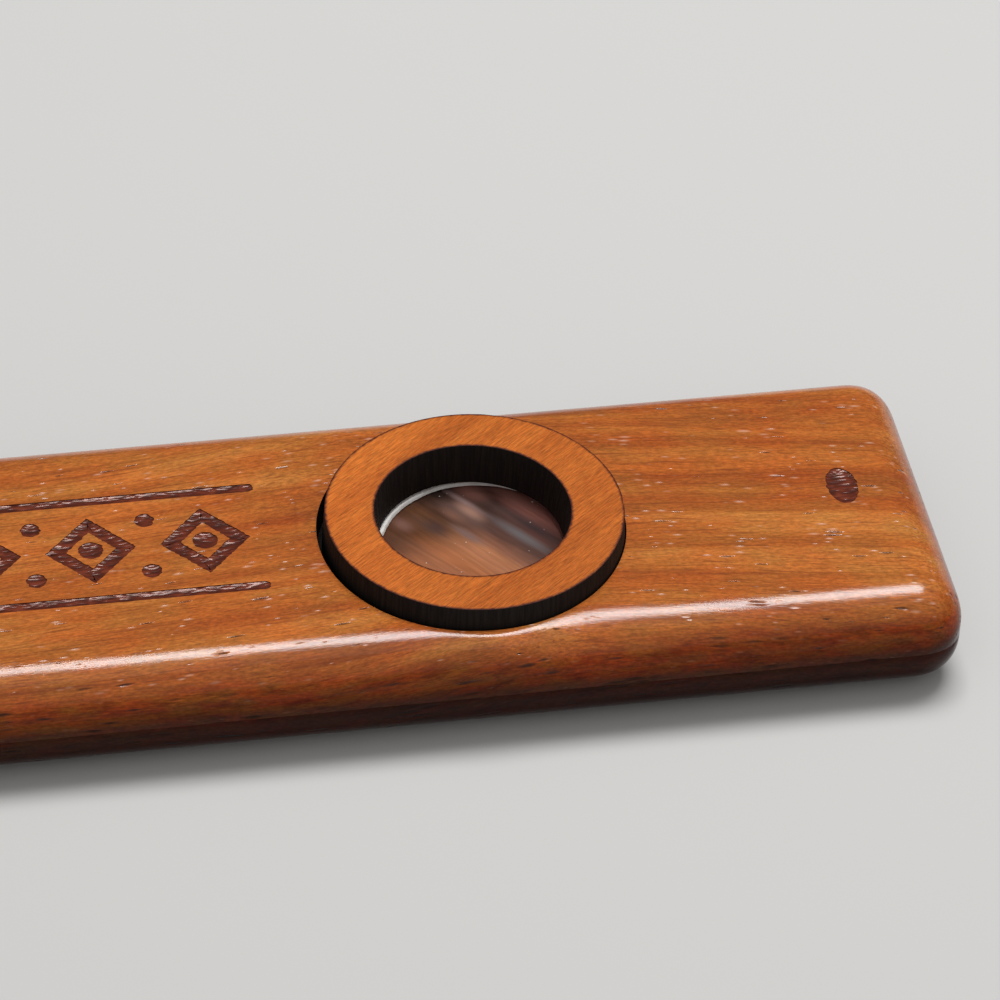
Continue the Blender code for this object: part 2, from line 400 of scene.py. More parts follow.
@dataclass(frozen=True, kw_only=True)
class LacqueredWood(Wood):
    """Clear gloss lacquer over wood with pale pores, dark slits and mottled sides; the pale paint of the
    pores is a painted highlight for glints in them.

    The grain sweeps past the seat. The sides redden to the mouth end, and their lowest part may be darkened
    as painted shade.
    """

    dark: Paint
    middle: Paint
    pale: Paint
    streak: Paint
    # pale paint of the pits, a painted highlight that stands in for glints in them
    pore_glint_paint: Paint
    slit: Paint
    cut_from: Size
    # how dark the lowest part of the sides is painted: painted shade
    foot: float = 1.0
    gloss_tint: Paint = (242, 252, 255)
    roughness: Span = (0.17, 0.11)
    reddened: Paint = (255, 240, 230)
    yellowed: Paint = (246, 255, 250)
    mottle_dark: Paint = (204, 180, 172)
    mottle_pale: Paint = (255, 246, 238)
    side_red: Paint = (232, 208, 200)
    blush: Paint = (255, 216, 196)
    olive: Paint = (240, 246, 214)
    sweep_start: float = -12.0 * MM
    sweep_rise: float = 0.10
    sweep_end: float = 41.0 * MM
    sweep_fall: float = 0.13
    sweep_bend: float = 1.5 * MM
    side_lift: float = 3.0 * MM
    side_lift_from: float = 4.0 * MM
    side_lift_to: float = 34.0 * MM
    fibre_length: float = 1.5 * MM
    fibre_width: float = 0.14 * MM
    band_width: float = 2.6 * MM
    wander: float = 3.0 * MM
    band_span: Span = (0.32, 0.68)
    figure_span: Span = (0.36, 0.64)
    fibre_tones: Span = (0.77, 1.21)
    fleck_tones: Span = (0.78, 1.20)
    streak_share: float = 0.50
    hair_share: float = 0.60
    pore_glint_share: float = 0.62
    slit_share: float = 0.92
    pore_spacing: Span = (2.1 * MM, 0.56 * MM)
    pore_size: float = 0.21
    side_pores: float = 0.25
    pore_roughness: float = 0.20
    slit_spacing: Span = (5.0 * MM, 0.70 * MM)
    slit_size: float = 0.14
    side_slit_size: float = 0.27
    mottle_size: Size = (3.0 * MM, 0.6 * MM, 0.6 * MM)
    mottle_span: Span = (0.32, 0.52)
    patch_size: Size = (3.6 * MM, 1.1 * MM, 1.1 * MM)
    patch_span: Span = (0.40, 0.60)
    side_heights: Span = (7.4 * MM, 9.3 * MM)
    # heights over which the painted shade of the sides fades out
    painted_shade_heights: Span = (5.0 * MM, 6.5 * MM)
    swell_size: Size = (7.0 * MM, 2.2 * MM, 2.2 * MM)
    dapple_size: Size = (1.9 * MM, 0.8 * MM, 0.8 * MM)
    fibre_height: float = 0.009
    swell_height: float = 0.030
    dapple_height: float = 0.007
    pore_depth: float = 0.022
    slit_depth: float = 0.090

    def surface(self, graph: Graph) -> dict[str, Socket]:
        """Colours the grain, mottles the sides and opens the pores and slits.

        Args:
            graph: the material's graph.

        Returns:
            The colour, the roughness and the relief.
        """
        place = self.along_grain(graph)
        grain = self.grain(graph, place)
        beside = graph.step(graph.split(graph.place())[2], *self.side_heights, 1.0, 0.0)
        pits = self.openings(graph, place, self.pore_spacing, self.pore_size)
        pits = graph.math("MULTIPLY", pits, graph.step(beside, 0.0, 1.0, 1.0, self.side_pores))
        slit_size = graph.step(beside, 0.0, 1.0, self.slit_size, self.side_slit_size)
        slits = self.openings(graph, place, self.slit_spacing, slit_size)
        colour = graph.tinted(
            graph.fade(grain["Bands"], self.band_span, self.dark, self.middle, self.pale),
            graph.fade(grain["Figure"], self.figure_span, self.reddened, self.yellowed),
            graph.step(grain["Fibres"], *TONE_SPAN, *self.fibre_tones),
            graph.step(grain["Flecks"], *TONE_SPAN, *self.fleck_tones),
        )
        colour = self.mottled(graph, place, colour, beside)
        # the pale paint of the pits is a painted highlight
        marks = (
            (grain["Streaks"], self.streak_share, self.streak),
            (grain["Hairs"], self.hair_share, self.streak),
            (pits, self.pore_glint_share, self.pore_glint_paint),
            (slits, self.slit_share, self.slit),
        )
        for mark, share, paint in marks:
            colour = graph.mix(graph.math("MULTIPLY", mark, share), colour, linear(paint))
        relief = graph.total(
            (grain["Fibres"], self.fibre_height),
            (graph.lumps(place, self.swell_size, detail=1.0), self.swell_height),
            (graph.lumps(place, self.dapple_size, detail=1.0), self.dapple_height),
            (pits, -self.pore_depth),
            (slits, -self.slit_depth),
        )
        roughness = graph.math("MULTIPLY_ADD", pits, self.pore_roughness, self.sheen(graph, grain["Fibres"]))
        return {"Base Color": colour, "Roughness": roughness, "Normal": graph.bump(relief, MM)}

    def mottled(self, graph: Graph, place: Socket, colour: Socket, beside: Socket) -> Socket:
        """Mottles the sides, which are cut across the wood's layers, and darkens their lowest part with
        painted shade.

        Args:
            graph: the material's graph.
            place: the place along the grain.
            colour: the wood's colour.
            beside: the mask of the sides.

        Returns:
            The colour, left as it is on the top.
        """
        lumps = graph.lumps(place, self.mottle_size, detail=3.0, rough=0.6)
        patches = graph.lumps(place, self.patch_size)
        shade = graph.fade(lumps, self.mottle_span, self.mottle_dark, self.mottle_pale)
        hue = graph.fade(patches, self.patch_span, self.blush, self.olive)
        along, _, height = graph.split(graph.place())
        towards_mouth = graph.step(along, -self.side_lift_to, self.side_lift_to)
        reddened = graph.math("MULTIPLY", beside, towards_mouth)
        colour = graph.tinted(colour, shade, hue, share=beside)
        colour = graph.tinted(colour, linear(self.side_red), share=reddened)
        # painted shade: the sides darken towards the seam
        return graph.tinted(colour, graph.step(height, *self.painted_shade_heights, self.foot, 1.0))

    def along_grain(self, graph: Graph) -> Socket:
        """Places counted along the grain, which lifts towards the seat and falls away to the mouth end.

        Args:
            graph: the material's graph.

        Returns:
            The place, with the sweep of the grain taken out.
        """
        whole = graph.place()
        along = graph.split(whole)[0]
        rise = graph.offset(along, self.sweep_start, self.sweep_rise)
        fall = graph.offset(along, self.sweep_end, -self.sweep_fall)
        lift = graph.math("SMOOTH_MAX", rise, 0.0, self.sweep_bend)
        lift = graph.math("SMOOTH_MIN", lift, fall, self.sweep_bend)
        climb = graph.step(along, self.side_lift_from, self.side_lift_to, 0.0, self.side_lift)
        straight = graph.vector("SUBTRACT", whole, graph.joined(0.0, lift, climb))
        return graph.sized(straight, UNIT, self.cut_from)

    def openings(self, graph: Graph, place: Socket, spacing: Span, size: Feed) -> Socket:
        """Openings of one kind in the wood, 1 at their deepest."""
        inputs = (place, *spacing, size)
        return graph.add("Group", dict(enumerate(inputs)), node_tree=pore_group()).outputs["Pits"]


@dataclass(frozen=True, kw_only=True)
class BareWood(Wood):
    """Unlacquered wood left by the router, with faint tool marks."""

    name: str = "bare_routed_wood"
    dark: Paint = (118, 74, 44)
    pale: Paint = (168, 116, 74)
    tone_span: Span = (0.32, 0.66)
    roughness: Span = (0.75, 0.6)
    fibre_length: float = 5.0 * MM
    fibre_width: float = 0.3 * MM
    band_width: float = 3.0 * MM
    wander: float = 1.0 * MM
    tool_mark: Size = (0.5 * MM, 6.0 * MM, 6.0 * MM)
    mark_share: float = 0.3
    fuzz: float = 0.04 * MM

    def surface(self, graph: Graph) -> dict[str, Socket]:
        """Lays tool marks over the grain.

        Args:
            graph: the material's graph.

        Returns:
            The colour, the roughness and the relief.
        """
        place = graph.place()
        fibres = self.grain(graph, place)["Fibres"]
        marks = graph.lumps(place, self.tool_mark, detail=1.0)
        tone = graph.total((marks, self.mark_share), (fibres, 1 - self.mark_share))
        return {
            "Base Color": graph.fade(tone, self.tone_span, self.dark, self.pale),
            "Roughness": self.sheen(graph, fibres),
            "Normal": graph.bump(graph.math("ADD", fibres, marks), self.fuzz),
        }


@dataclass(frozen=True, kw_only=True)
class RingWood(Wood):
    """Satin sheet wood with fine slanting grain, scorched along the two cut edges."""

    centre: Vector
    inner: float
    outer: float
    outline: Matrix
    name: str = "ring_face_wood"
    gloss: float = 0.12
    dark: Paint = (174, 90, 32)
    middle: Paint = (188, 101, 38)
    pale: Paint = (200, 112, 44)
    scorch: Paint = (66, 28, 24)
    reddened: Paint = (250, 234, 222)
    yellowed: Paint = (250, 255, 255)
    roughness: Span = (0.62, 0.50)
    grain_turn: float = math.radians(39.0)
    fibre_length: float = 1.3 * MM
    fibre_width: float = 0.09 * MM
    band_width: float = 2.2 * MM
    wander: float = 0.5 * MM
    band_span: Span = (0.30, 0.70)
    fleck_span: Span = (0.34, 0.66)
    fibre_tones: Span = (0.56, 1.38)
    hair_tone: float = 0.78
    # how much lighter the face is painted towards the outlet end: painted light for the light falling off
    # across the ring
    outlet_side_painted_light: float = 1.15
    scorch_width: float = 0.30 * MM
    scorch_core: float = 0.02 * MM
    scorch_lump: float = 0.5 * MM
    fuzz: float = 0.010 * MM

    def surface(self, graph: Graph) -> dict[str, Socket]:
        """Lays grain across the ring, painted a little lighter towards the outlet side as painted light, and
        scorches its rims.

        Args:
            graph: the material's graph.

        Returns:
            The colour, the roughness and the relief.
        """
        whole = graph.place()
        grain = self.grain(graph, graph.sized(whole, UNIT, self.centre, self.grain_turn))
        fibres = grain["Fibres"]
        along = graph.split(graph.sized(whole, (self.outer, self.outer, 1.0), self.centre))[0]
        colour = graph.tinted(
            graph.fade(grain["Bands"], self.band_span, self.dark, self.middle, self.pale),
            graph.step(fibres, *TONE_SPAN, *self.fibre_tones),
            graph.step(grain["Hairs"], 0.0, 1.0, 1.0, self.hair_tone),
            graph.fade(grain["Flecks"], self.fleck_span, self.reddened, self.yellowed),
            # painted light: the face is lighter towards the outlet end
            graph.step(along, -1.0, 0.0, self.outlet_side_painted_light, 1.0),
        )
        return {
            "Base Color": graph.mix(self.scorched(graph, whole), colour, linear(self.scorch)),
            "Roughness": self.sheen(graph, fibres),
            "Normal": graph.bump(fibres, self.fuzz),
        }

    def scorched(self, graph: Graph, place: Socket) -> Socket:
        """The mask of the scorch lines.

        Args:
            graph: the material's graph.
            place: the point of the surface.

        Returns:
            1 at the rims and 0 from a scorch's width off.
        """
        lumps = graph.lumps(place, (self.scorch_lump, self.scorch_lump, self.scorch_lump))
        uneven = graph.offset(lumps, NOISE_MIDDLE, self.scorch_width)
        middle = self.centre + self.outline.to_translation()
        outer = graph.math("ADD", self.radius(graph, place, middle, self.outline.to_scale()), uneven)
        inner = graph.math("ADD", self.radius(graph, place, self.centre, UNIT), uneven)
        outside = graph.step(outer, self.outer - self.scorch_width, self.outer - self.scorch_core)
        inside = graph.step(inner, self.inner + self.scorch_core, self.inner + self.scorch_width, 1.0, 0.0)
        return graph.math("MAXIMUM", outside, inside)

    def radius(self, graph: Graph, place: Socket, middle: Vector, scale: Feed) -> Socket:
        """How far a place lies from a middle, seen from above."""
        return graph.vector("LENGTH", graph.vector("MULTIPLY", graph.sized(place, scale, middle), LEVEL))


@dataclass(frozen=True, kw_only=True)
class Lumpy(Finish):
    """A finish whose colour, roughness and relief follow one pattern of lumps."""

    paints: tuple[Paint, ...]
    span: Span
    size: Size
    detail: float
    rough: float = 0.5
    depth: float

    def surface(self, graph: Graph) -> dict[str, Socket]:
        """Lays the lumps over the surface.

        Args:
            graph: the material's graph.

        Returns:
            The colour, the roughness and the relief.
        """
        lumps = graph.lumps(graph.place(), self.size, self.detail, self.rough)
        return {
            "Base Color": graph.fade(lumps, self.span, *self.paints),
            "Roughness": self.sheen(graph, lumps),
            "Normal": graph.bump(lumps, self.depth),
        }


@dataclass(frozen=True, kw_only=True)
class BurntEngraving(Lumpy):
    """The floor of a laser engraving under lacquer: dark, with the hard grain left standing in ridges."""

    name: str = "burnt_engraving"
    gloss_tint: Paint = (255, 226, 218)
    paints: tuple[Paint, ...] = ((68, 27, 18), (92, 38, 24), (120, 56, 38))
    span: Span = (0.34, 0.70)
    roughness: Span = (0.30, 0.16)
    size: Size = (1.1 * MM, 0.36 * MM, 0.36 * MM)
    detail: float = 1.0
    depth: float = 0.12 * MM


@dataclass(frozen=True, kw_only=True)
class CharredCut(Lumpy):
    """The black wall of a laser cut, with fine upright lines left by the beam."""

    name: str = "charred_wall"
    gloss: float = 0.15
    paints: tuple[Paint, ...] = ((26, 21, 19), (42, 35, 31))
    span: Span = (0.40, 0.80)
    roughness: Span = (0.75, 0.60)
    size: Size = (0.22 * MM, 0.22 * MM, 9.0 * MM)
    detail: float = 2.0
    rough: float = 0.6
    depth: float = 0.02 * MM


@dataclass(frozen=True, kw_only=True)
class WhiteHoop(Lumpy):
    """Matt white plastic with faint marks of handling."""

    name: str = "white_hoop_plastic"
    paints: tuple[Paint, ...] = ((236, 231, 226), (250, 247, 243))
    span: Span = (0.35, 0.60)
    roughness: Span = (0.55, 0.42)
    size: Size = (1.2 * MM, 1.2 * MM, 1.2 * MM)
    detail: float = 4.0
    depth: float = 0.01 * MM


class FilmSpot(NamedTuple):
    """A soft pale or dark spot on the film, with its place and size as shares of the film's reach; some spots
    are tint, others painted light and painted reflections.
    """

    along: float
    across: float
    length: float
    width: float
    paint: Paint


@dataclass(frozen=True, kw_only=True)
class ClearFilm(Finish):
    """Thin brown film over the dark port, with soft slanting streaks and spots: partly its tint and partly
    painted reflections, with painted light at the far rim and painted shade on one side.
    """

    centre: Vector
    name: str = "clear_brown_film"
    gloss: float = 0.25
    roughness: Span = (0.42, 0.30)
    reach: float = 7.9 * MM
    turn: float = math.radians(-51.0)
    bands: tuple[tuple[float, Paint], ...] = (
        (0.20, (150, 92, 60)), (0.38, (168, 102, 64)), (0.57, (173, 113, 77)), (0.62, (140, 91, 69)),
        (0.71, (84, 54, 44)), (0.80, (84, 54, 46)), (0.88, (98, 60, 52)), (0.96, (138, 86, 77)),
    )
    tints_and_painted_light: tuple[FilmSpot, ...] = (
        # painted light: the next two pale spots at the far rim stand in for light where the ring casts its
        # shadow
        FilmSpot(-0.72, 0.74, 0.40, 0.22, (143, 94, 83)),
        FilmSpot(-0.34, 1.00, 0.60, 0.20, (143, 94, 83)),
        FilmSpot(-0.53, 0.03, 0.28, 0.15, (68, 45, 40)),
        FilmSpot(0.22, 0.75, 0.66, 0.14, (46, 35, 36)),
        FilmSpot(-0.45, 0.42, 0.50, 0.26, (110, 79, 69)),
        # painted reflections: this grey-blue streak and the thin pale one after it are sheen on the film
        FilmSpot(0.22, 0.56, 0.66, 0.11, (106, 100, 101)),
        FilmSpot(-0.62, 0.55, 0.50, 0.07, (132, 106, 102)),
        FilmSpot(-0.44, 0.47, 0.30, 0.10, (158, 118, 101)),
        FilmSpot(-0.54, 0.30, 0.26, 0.10, (122, 84, 68)),
        FilmSpot(-0.20, 0.17, 0.36, 0.09, (118, 94, 90)),
        FilmSpot(-0.84, -0.19, 0.24, 0.13, (126, 88, 76)),
    )
    film_spot_share: float = 0.85
    warp_size: Size = (0.9, 0.24, 1.0)
    drift: float = 0.24
    shade_slant: float = -0.45
    slant_end: float = 0.2
    shade_span: Span = (-0.62, 0.02)
    shade_tones: Span = (0.26, 1.0)
    thread_size: Size = (0.60, 0.045, 1.0)
    thread_tones: Span = (0.86, 1.14)
    speck: Paint = (216, 208, 202)
    speck_size: Size = (0.34 * MM, 0.26 * MM, 0.26 * MM)
    speck_span: Span = (0.84, 0.88)

    def surface(self, graph: Graph) -> dict[str, Socket]:
        """Draws the streaks across the film from one rim to the other, darkens one side as painted shade, and
        lays the spots and specks on them.

        Args:
            graph: the material's graph.

        Returns:
            The colour and the roughness.
        """
        whole = graph.place()
        raised = graph.sized(whole, (self.reach, self.reach, self.reach), self.centre, self.turn)
        here = graph.vector("MULTIPLY", raised, LEVEL)
        along, across, _ = graph.split(here)
        warp = graph.lumps(here, self.warp_size, detail=3.0)
        swing = graph.offset(warp, NOISE_MIDDLE, self.drift)
        band = graph.offset(graph.math("ADD", across, swing), middle=-1.0, gain=0.5)
        slant = graph.math("MULTIPLY", graph.math("MINIMUM", across, self.slant_end), self.shade_slant)
        # painted shade: one side of the film is darkened
        shaded = graph.math("ADD", graph.math("ADD", along, slant), swing)
        colour = graph.tinted(
            graph.ramp(band, list(self.bands)),
            graph.step(shaded, *self.shade_span, *self.shade_tones),
            graph.step(graph.lumps(here, self.thread_size), *SHEEN_SPAN, *self.thread_tones),
        )
        for film_spot in self.tints_and_painted_light:
            spot = graph.sized(here, (film_spot.length, film_spot.width, 1.0), (film_spot.along, film_spot.across, 0.0))
            off = graph.math("ADD", graph.vector("LENGTH", spot), swing)
            colour = graph.mix(graph.step(off, 0.0, 1.0, self.film_spot_share, 0.0), colour, linear(film_spot.paint))
        specks = graph.step(graph.lumps(whole, self.speck_size, detail=0.0), *self.speck_span)
        colour = graph.mix(specks, colour, linear(self.speck))
        return {"Base Color": colour, "Roughness": self.sheen(graph, warp)}


def block(low: Vector, high: Vector) -> Mesh:
    """A box between two corners.

    Args:
        low: the lowest corner.
        high: the highest corner.

    Returns:
        The mesh.
    """
    bm = bmesh.new()
    shape = Matrix.Translation((low + high) / 2) @ Matrix.Diagonal(high - low).to_4x4()
    bmesh.ops.create_cube(bm, size=1.0, matrix=shape)
    return bm


def edges_along(bm: Mesh, axis: Axis) -> Edges:
    """The edges that run along an axis."""
    ways = [(edge, (edge.verts[1].co - edge.verts[0].co).normalized()) for edge in bm.edges]
    return [edge for edge, way in ways if abs(way.dot(axis.value)) > PARALLEL]


def edges_at(bm: Mesh, height: float) -> Edges:
    """The edges that lie at a height."""
    return [edge for edge in bm.edges if all(abs(vert.co.z - height) < SAME_PLACE for vert in edge.verts)]


def rims(bm: Mesh) -> Edges:
    """The edges at which the surface turns sharply."""
    return [edge for edge in bm.edges if edge.calc_face_angle() > RIM_ANGLE]


def round_edges(bm: Mesh, edges: Edges, radius: float, segments: int) -> None:
    """Rounds edges over.

    Args:
        bm: the mesh.
        edges: the edges.
        radius: the radius of the rounding.
        segments: its facets.
    """
    bmesh.ops.bevel(
        bm, geom=edges, offset=radius, offset_type="OFFSET", segments=segments, profile=0.5,
        affect="EDGES", material=-1, clamp_overlap=False,
    )


def slice_across(bm: Mesh, axis: Axis, stations: list[float]) -> None:
    """Cuts the faces along planes, so that they can be shaped there.

    Args:
        bm: the mesh.
        axis: the axis that the planes lie across.
        stations: the planes' places along it.
    """
    for station in stations:
        bmesh.ops.bisect_plane(
            bm, geom=[*bm.verts, *bm.edges, *bm.faces], dist=SAME_PLACE,
            plane_co=axis.value * station, plane_no=axis.value,
        )


def inset(bm: Mesh, width: float) -> None:
    """Insets the faces of a flat shape from its outline."""
    bmesh.ops.inset_region(bm, faces=bm.faces[:], thickness=width, use_boundary=True, use_even_offset=True)


def raise_faces(bm: Mesh, height: float) -> None:
    """Makes a flat shape into a closed solid.

    Args:
        bm: the mesh.
        height: the solid's height.
    """
    raised = bmesh.ops.extrude_face_region(bm, geom=bm.faces[:])["geom"]
    lifted = [item for item in raised if isinstance(item, bmesh.types.BMVert)]
    bmesh.ops.translate(bm, verts=lifted, vec=(0.0, 0.0, height))


def join(bm: Mesh, part: Mesh) -> None:
    """Adds a mesh to another one.

    Args:
        bm: the mesh that grows.
        part: the mesh that is added, and freed.
    """
    mesh = bpy.data.meshes.new("part")
    part.to_mesh(mesh)
    part.free()
    bm.from_mesh(mesh)
    bpy.data.meshes.remove(mesh)


def plug(radius: float, low: Vector, high: float, segments: int) -> Mesh:
    """A round plug standing on a point.

    Args:
        radius: the plug's radius.
        low: the middle of its base.
        high: the height of its top.
        segments: its facets.

    Returns:
        The mesh.
    """
    bm = bmesh.new()
    base = Matrix.Translation(low)
    bmesh.ops.create_circle(bm, cap_ends=True, segments=segments, radius=radius, matrix=base)
    raise_faces(bm, high - low.z)
    bmesh.ops.recalc_face_normals(bm, faces=bm.faces)
    return bm


def turned(profile: list[tuple[float, float]], steps: int, closed: bool = True) -> Mesh:
    """Turns a profile about the Z axis.

    Args:
        profile: its points, as radius and height.
        steps: the facets of the turn.
        closed: whether its last point is joined to its first one.

    Returns:
        The mesh.
    """
    bm = bmesh.new()
    verts = [bm.verts.new((radius, 0.0, height)) for radius, height in profile]
    edges = [bm.edges.new((verts[i - 1], verts[i])) for i in range(0 if closed else 1, len(verts))]
    bmesh.ops.spin(
        bm, geom=verts + edges, cent=ORIGIN, axis=Axis.Z.value, angle=FULL_TURN, steps=steps, use_merge=True,
    )
    bmesh.ops.remove_doubles(bm, verts=bm.verts, dist=SAME_PLACE)
    bmesh.ops.recalc_face_normals(bm, faces=bm.faces)
    return bm


def new_object(name: str, data: bpy.types.ID) -> Item:
    """Puts a new object into the scene.

    Args:
        name: the object's name.
        data: what it shows.

    Returns:
        The object.
    """
    item = bpy.data.objects.new(name, data)
    bpy.context.scene.collection.objects.link(item)
    return item


def object_from(name: str, bm: Mesh, materials: list[Material]) -> Item:
    """Makes an object from a mesh.

    Args:
        name: the object's name.
        bm: the mesh, which is freed.
        materials: its material slots.

    Returns:
        The object, shaded smooth up to its sharp edges.
    """
    mesh = bpy.data.meshes.new(name)
    bm.to_mesh(mesh)
    bm.free()
    for material in materials:
        mesh.materials.append(material)
    smooth(mesh)
    return new_object(name, mesh)


def smooth(mesh: bpy.types.Mesh) -> None:
    """Shades a mesh smooth up to its sharp edges."""
    mesh.shade_smooth()
    mesh.set_sharp_from_angle(angle=SMOOTH_ANGLE)


def carve(piece: Item, tools: list[Item]) -> None:
    """Cuts tools out of a piece, which takes their materials where they cut.

    Args:
        piece: the piece.
        tools: what is cut away, in order.
    """
    for tool in tools:
        boolean = piece.modifiers.new(tool.name, "BOOLEAN")
        boolean.operation = "DIFFERENCE"
        boolean.solver = "EXACT"
        boolean.material_mode = "TRANSFER"
        boolean.object = tool
    depsgraph = bpy.context.evaluated_depsgraph_get()
    carved = bpy.data.meshes.new_from_object(piece.evaluated_get(depsgraph), depsgraph=depsgraph)
    piece.modifiers.clear()
    spent, piece.data = piece.data, carved
    carved.name = piece.name
    bpy.data.meshes.remove(spent)
    smooth(carved)


def discard(tools: list[Item]) -> None:
    """Removes tools that have done their cutting, each of which goes with its mesh."""
    for tool in tools:
        bpy.data.meshes.remove(tool.data)


def enlist(piece: Item, body: Body, part: Stands) -> None:
    """Puts a finished piece on its body in place of its CAD node.

    Args:
        piece: the piece.
        body: the body that it rides on.
        part: the node and slot that it stands for.
    """
    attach(piece, body.value)
    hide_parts(part.node)
    faces = len(piece.data.polygons)
    LOG.info("%s: %d faces, rides on %s, stands for %s", piece.name, faces, body.value, part.node)


@dataclass
class Ornament:
    """The engraving of the top face: a band of lozenges and dots between two grooves, and one oval."""

    top: float
    finish: Material
    depth: float = 0.16 * MM
    clearance: float = 1.0 * MM
    middle: Vector = Vector((-24.0 * MM, 0.6 * MM, 0.0))
    count: int = 6
    pitch: float = 9.6 * MM
    lozenge_length: float = 7.6 * MM
    lozenge_width: float = 8.2 * MM
    stroke: float = 1.25 * MM
    eye: float = 2.1 * MM
    bead: float = 1.7 * MM
    bead_offset: float = 3.2 * MM
    groove_offset: float = 6.2 * MM
    groove_width: float = 1.0 * MM
    oval_place: Vector = Vector((54.8 * MM, 0.3 * MM, 0.0))
    oval_length: float = 2.7 * MM
    oval_width: float = 4.6 * MM
    oval_sides: int = 40
    groove_sides: int = 42
    dish_width: float = 0.34 * MM
    dish_rise: float = 0.08 * MM
    rag: float = 0.16 * MM
    rag_length: float = 1.2 * MM
    rag_width: float = 0.20 * MM
    rag_cuts: int = 28

    def tool(self) -> Item:
        """Makes the cutter of the whole engraving.

        Returns:
            The cutter.
        """
        bm = bmesh.new()
        for outline in self.outlines():
            self.deepen(outline)
            join(bm, outline)
        bmesh.ops.recalc_face_normals(bm, faces=bm.faces)
        return object_from("engraving_tool", bm, [self.finish])

    def outlines(self) -> list[Mesh]:
        """The flat outlines of all marks.

        Returns:
            One mesh for each mark.
        """
        marks = [self.oval(self.oval_place, self.oval_length, self.oval_width, self.oval_sides)]
        for place in range(self.count):
            here = self.at(place - (self.count - 1) / 2)
            marks += [self.lozenge(here), self.oval(here, self.eye, self.eye, self.oval_sides)]
        for place in range(1, self.count):
            for side in (-1, 1):
                here = self.at(place - self.count / 2, side * self.bead_offset)
                marks.append(self.oval(here, self.bead, self.bead, self.oval_sides))
        marks += [self.groove(self.at(0.0, side * self.groove_offset)) for side in (-1, 1)]
        return marks

    def at(self, pitches: float, across: float = 0.0) -> Vector:
        """A place in the band, so many pitches from its middle."""
        return self.middle + Vector((pitches * self.pitch, across, 0.0))

    def deepen(self, outline: Mesh) -> None:
        """Makes an outline a cutter whose floor is dished up at its edges, where the lacquer settles.

        Args:
            outline: the flat outline.
        """
        inset(outline, self.dish_width)
        for vert in outline.verts:
            if vert.is_boundary:
                vert.co.z += self.dish_rise
            along_grain = Vector((vert.co.x / self.rag_length, vert.co.y / self.rag_width, 0.0))
            vert.co.x += self.rag * noise.noise(along_grain)
        raise_faces(outline, self.depth + self.clearance)

    def oval(self, here: Vector, length: float, width: float, sides: int) -> Mesh:
        """A flat oval at the engraving's floor.

        Args:
            here: its middle.
            length: its size along X.
            width: its size along Y.
            sides: its sides.

        Returns:
            The mesh.
        """
        bm = bmesh.new()
        floor = Matrix.Translation((here.x, here.y, self.top - self.depth))
        shape = floor @ Matrix.Diagonal((length / 2, width / 2, 1.0, 1.0))
        bmesh.ops.create_circle(bm, cap_ends=True, segments=sides, radius=1.0, matrix=shape)
        return bm

    def lozenge(self, here: Vector) -> Mesh:
        """An open lozenge drawn with one stroke.

        Args:
            here: its middle.

        Returns:
            The mesh.
        """
        bm = self.oval(here, self.lozenge_length, self.lozenge_width, sides=4)
        inside = bm.faces[:]
        inset(bm, self.stroke)
        bmesh.ops.delete(bm, geom=inside, context="FACES_ONLY")
        edges = [edge for edge in bm.edges if edge.is_boundary]
        bmesh.ops.subdivide_edges(bm, edges=edges, cuts=self.rag_cuts)
        return bm

    def groove(self, here: Vector) -> Mesh:
        """A straight groove as long as the band, with round ends.

        Args:
            here: its middle.

        Returns:
            The mesh.
        """
        bm = self.oval(here, self.groove_width, self.groove_width, self.groove_sides)
        for vert in bm.verts:
            vert.co.x += math.copysign((self.count * self.pitch - self.groove_width) / 2, vert.co.x - here.x)
        return bm


